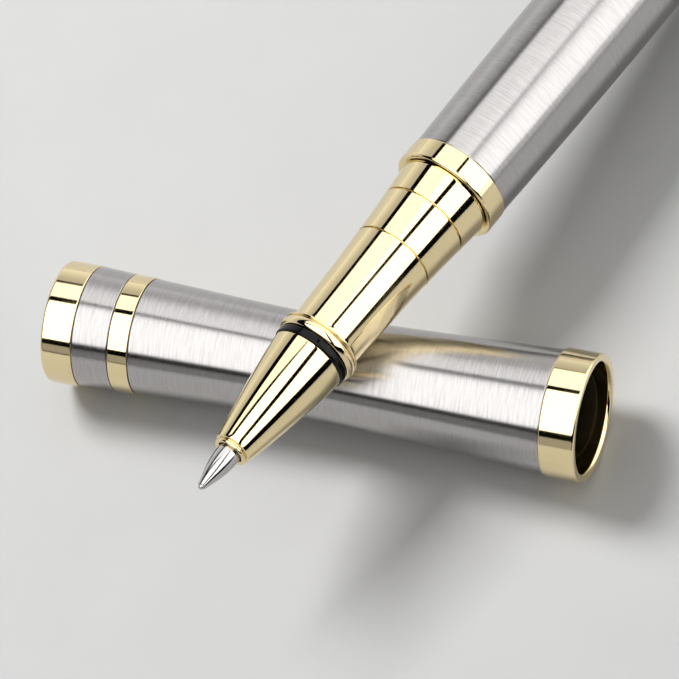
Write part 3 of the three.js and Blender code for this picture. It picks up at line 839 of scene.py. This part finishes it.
def turned_pieces():
    """Node, outline, body, slot and segments of each turned piece."""
    inner, outer = INNER_SEGMENTS, OUTER_SEGMENTS
    return [
        ("refill_nose", refill_nose_outline(), "refill", "refill_plastic", inner),
        ("refill_tube", refill_tube_outline(), "refill", "polished_steel", inner),
        ("ink_reservoir", reservoir_outline(), "refill", "fibre", inner),
        ("refill_plug", refill_plug_outline(), "refill", "black_plastic", inner),
        ("spring_seat", spring_seat_outline(), "barrel", "black_plastic", inner),
        ("thread_insert", thread_insert_outline(), "barrel", "brass", inner),
        ("clip_washer", washer_outline(), "cap", "polished_steel", inner),
        ("clip_screw", clip_screw_outline(), "cap", "polished_steel", inner),
        ("refill_ball", ball_outline(), "ball", "polished_steel", inner),
        ("refill_point", point_outline(), "refill", "polished_steel", inner),
        ("nose_cone", nose_outline(), "section", "gold", outer),
        ("snap_ring", snap_ring_outline(), "section", "black_gloss", outer),
        ("grip_section", section_outline(), "section", "gold", outer),
        ("thread_nipple", nipple_outline(), "section", "brass", inner),
        ("nipple_seal", seal_outline(), "thread_carrier", "rubber", inner),
        ("barrel_front_ring", front_ring_outline(), "barrel", "gold", outer),
        ("barrel_tube", barrel_outline(), "barrel", "steel", outer),
        ("tail_ring", tail_ring_outline(), "barrel", "gold", outer),
        ("tail_finial", finial_outline(), "barrel", "steel", outer),
        ("cap_top_plate", top_plate_outline(), "cap", "polished_steel", outer),
        ("cap_end_band", end_band_outline(), "cap", "gold", outer),
        ("cap_upper_tube", upper_tube_outline(), "cap", "steel", outer),
        ("cap_mid_band", mid_band_outline(), "cap", "gold", outer),
        ("cap_tube", cap_tube_outline(), "cap", "steel", outer),
        ("cap_lip_band", lip_outline(), "cap", "gold", outer),
        ("inner_cap", inner_cap_outline(), "cap", "black_plastic", inner),
        ("mouth_sleeve", sleeve_outline(), "cap", "black_plastic", outer),
    ]


def settle(piece, body, node, slot_name):
    """Gives a piece its material and its body, and hides the CAD node that it stands for."""
    piece.data.materials.append(MATERIALS[slot_name])
    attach(piece, body)
    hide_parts(node)


def add_spring():
    """The spring, which bears on its seat."""
    spring = swept("refill_spring_piece", spring_centre, SPRING_WIRE_R, 240, 16, PEN)
    settle(spring, "barrel", "refill_spring", "polished_steel")
    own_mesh(spring)


def add_pieces():
    for node, outline, body, slot_name, segments in turned_pieces():
        piece = turned(node + "_piece", outline, CAP if body == "cap" else PEN, segments)
        settle(piece, body, node, slot_name)
    clip_place = CAP @ Matrix.Rotation(-math.pi / 2 - CLIP_DOWN, 4, "Z")
    settle(clip_piece("clip_piece", clip_place), "clip", "clip", "gold")
    add_spring()
    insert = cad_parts["cap_insert"].data
    insert.materials.clear()
    insert.materials.append(MATERIALS["brass"])


# ---------------------------------------------------------------- camera

def view_axes():
    """The viewer's right, up and back."""
    azimuth = math.radians(VIEW_AZIMUTH)
    elevation = math.radians(VIEW_ELEVATION)
    flat = math.cos(elevation)
    back = Vector((math.sin(azimuth) * flat, -math.cos(azimuth) * flat, math.sin(elevation)))
    level = Vector((0, 0, 1)).cross(back).normalized()
    tall = back.cross(level)
    roll = math.radians(VIEW_ROLL)
    right = level * math.cos(roll) + tall * math.sin(roll)
    return right, back.cross(right), back


def add_camera():
    data = bpy.data.cameras.new("camera")
    data.lens = VIEW_LENS
    data.clip_start = 0.01
    data.clip_end = 20
    camera = bpy.data.objects.new("camera", data)
    bpy.context.scene.collection.objects.link(camera)
    place = Matrix((RIGHT, UP, BACK)).transposed().to_4x4()
    place.translation = LOOK_AT + BACK * VIEW_DISTANCE
    camera.matrix_world = place
    bpy.context.scene.camera = camera
    bpy.context.scene.view_settings.view_transform = "Standard"


# ---------------------------------------------------------------- studio

def in_view(right, up, back):
    return (RIGHT * right + UP * up + BACK * back).normalized()


def mirrored(place, angle, taper=0.0):
    """Where light comes from to be seen at this angle up round a turned piece, on a surface this tapered."""
    axis = place.to_3x3() @ Vector((0, 0, 1))
    nearest = (BACK - axis * axis.dot(BACK)).normalized()
    upward = axis.cross(nearest)
    if upward.dot(UP) < 0:
        upward = -upward
    around = nearest * math.cos(math.radians(angle)) + upward * math.sin(math.radians(angle))
    normal = around * math.cos(math.radians(taper)) - axis * math.sin(math.radians(taper))
    return 2 * normal.dot(BACK) * normal - BACK


def gap_edge(first, second):
    """The plane that holds both directions: a straight edge of a light box."""
    return first.cross(second).normalized()


def across(pen_angle, cap_angle):
    return gap_edge(mirrored(PEN, pen_angle), mirrored(CAP, cap_angle))


def upright(section_angle, cone_angle):
    return gap_edge(mirrored(PEN, section_angle, SECTION_TAPER), mirrored(PEN, cone_angle, CONE_TAPER))


def level_across(nodes, links, coords, plane, low, high, start=-EDGE_SOFTNESS, end=EDGE_SOFTNESS):
    """Goes from low to high across the plane."""
    dot = nodes.new("ShaderNodeVectorMath")
    dot.operation = "DOT_PRODUCT"
    dot.inputs[1].default_value = plane
    links.new(coords.outputs["Generated"], dot.inputs[0])
    step = nodes.new("ShaderNodeMapRange")
    step.interpolation_type = "SMOOTHSTEP"
    step.inputs["From Min"].default_value = start
    step.inputs["From Max"].default_value = end
    step.inputs["To Min"].default_value = low
    step.inputs["To Max"].default_value = high
    links.new(dot.outputs["Value"], step.inputs["Value"])
    return step.outputs["Result"]


def combined(nodes, links, operation, *values):
    total = values[0]
    for value in values[1:]:
        node = nodes.new("ShaderNodeMath")
        node.operation = operation
        links.new(total, node.inputs[0])
        links.new(value, node.inputs[1])
        total = node.outputs["Value"]
    return total


def build_world():
    """A studio of rear, top and front light boxes and a dim low one, with dark gaps and a dark post.

    Matt surfaces get only part of its light.
    """
    world = bpy.data.worlds.new("studio")
    bpy.context.scene.world = world
    world.use_nodes = True
    nodes, links = world.node_tree.nodes, world.node_tree.links
    background = nodes["Background"]
    coords = nodes.new("ShaderNodeTexCoord")

    def beyond(plane, *levels):
        return level_across(nodes, links, coords, plane, *levels)

    def joined(operation, *values):
        return combined(nodes, links, operation, *values)

    fade = beyond(across(*REAR_FADE), REAR_NEAR, REAR_FAR, 0, REAR_FADE_END)
    rear = joined("MULTIPLY", beyond(across(*REAR_EDGE), 0, 1), fade)
    ahead_of_rear = beyond(across(*AHEAD_OF_REAR_EDGE), 1, 0)
    top = joined("MULTIPLY", ahead_of_rear, beyond(across(*TOP_EDGE), TOP_LEVEL, 0))
    front = joined("MULTIPLY", ahead_of_rear, beyond(across(*FRONT_UPPER_EDGE), 0, FRONT_LEVEL),
                   beyond(across(*FRONT_LOWER_EDGE), 1, 0))
    low = joined("MULTIPLY", ahead_of_rear, beyond(across(*LOW_EDGE), 0, LOW_LEVEL))
    post = joined("MAXIMUM", beyond(upright(*POST_EDGES[0]), 1, 0), beyond(upright(*POST_EDGES[1]), 0, 1))
    lit = joined("MAXIMUM", rear, top, front, low)
    links.new(joined("MULTIPLY", lit, post), background.inputs["Color"])
    path = nodes.new("ShaderNodeLightPath")
    strength = nodes.new("ShaderNodeMapRange")
    strength.inputs["To Min"].default_value = 1
    strength.inputs["To Max"].default_value = DIFFUSE_STRENGTH
    links.new(path.outputs["Is Diffuse Ray"], strength.inputs["Value"])
    links.new(strength.outputs["Result"], background.inputs["Strength"])


def add_key():
    """A soft key that throws the shadows towards the viewer. It lights, and isn't seen in the metal."""
    data = bpy.data.lights.new("key", "AREA")
    data.size = KEY_SIZE
    data.energy = KEY_POWER
    key = bpy.data.objects.new("key", data)
    bpy.context.scene.collection.objects.link(key)
    aim = in_view(*KEY_AIM)
    key.location = LOOK_AT + aim * KEY_DISTANCE
    key.rotation_euler = aim.to_track_quat("Z", "Y").to_euler()
    key.visible_glossy = False


def add_floor():
    mesh = bpy.data.meshes.new("floor")
    corners = [(-1, -1), (1, -1), (1, 1), (-1, 1)]
    mesh.from_pydata([(x * FLOOR_REACH, y * FLOOR_REACH, 0) for x, y in corners], [], [(0, 1, 2, 3)])
    floor = bpy.data.objects.new("floor", mesh)
    bpy.context.scene.collection.objects.link(floor)
    floor.data.materials.append(floor_material())
    floor.location.z = -FLOOR_DROP


# ---------------------------------------------------------------- build

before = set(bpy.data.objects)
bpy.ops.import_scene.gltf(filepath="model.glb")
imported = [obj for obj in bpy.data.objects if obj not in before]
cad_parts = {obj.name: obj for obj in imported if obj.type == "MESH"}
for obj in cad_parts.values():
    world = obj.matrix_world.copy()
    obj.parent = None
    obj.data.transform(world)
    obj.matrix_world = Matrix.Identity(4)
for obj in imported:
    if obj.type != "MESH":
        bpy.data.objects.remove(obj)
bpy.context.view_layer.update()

PEN = axis_place("snap_ring", SNAP_RING_MIDDLE, "tail_ring", TAIL_RING_MIDDLE)
CAP = axis_place("cap_end_band", END_BAND_MIDDLE, "cap_lip_band", LIP_BAND_MIDDLE)
RIGHT, UP, BACK = view_axes()
LOOK_AT = CAP @ Vector((0, 0, VIEW_ACROSS_CAP * MM)) + (RIGHT * VIEW_AIM_RIGHT + UP * VIEW_AIM_UP) * MM
MATERIALS = make_materials()

add_pieces()
add_camera()
build_world()
add_key()
add_floor()
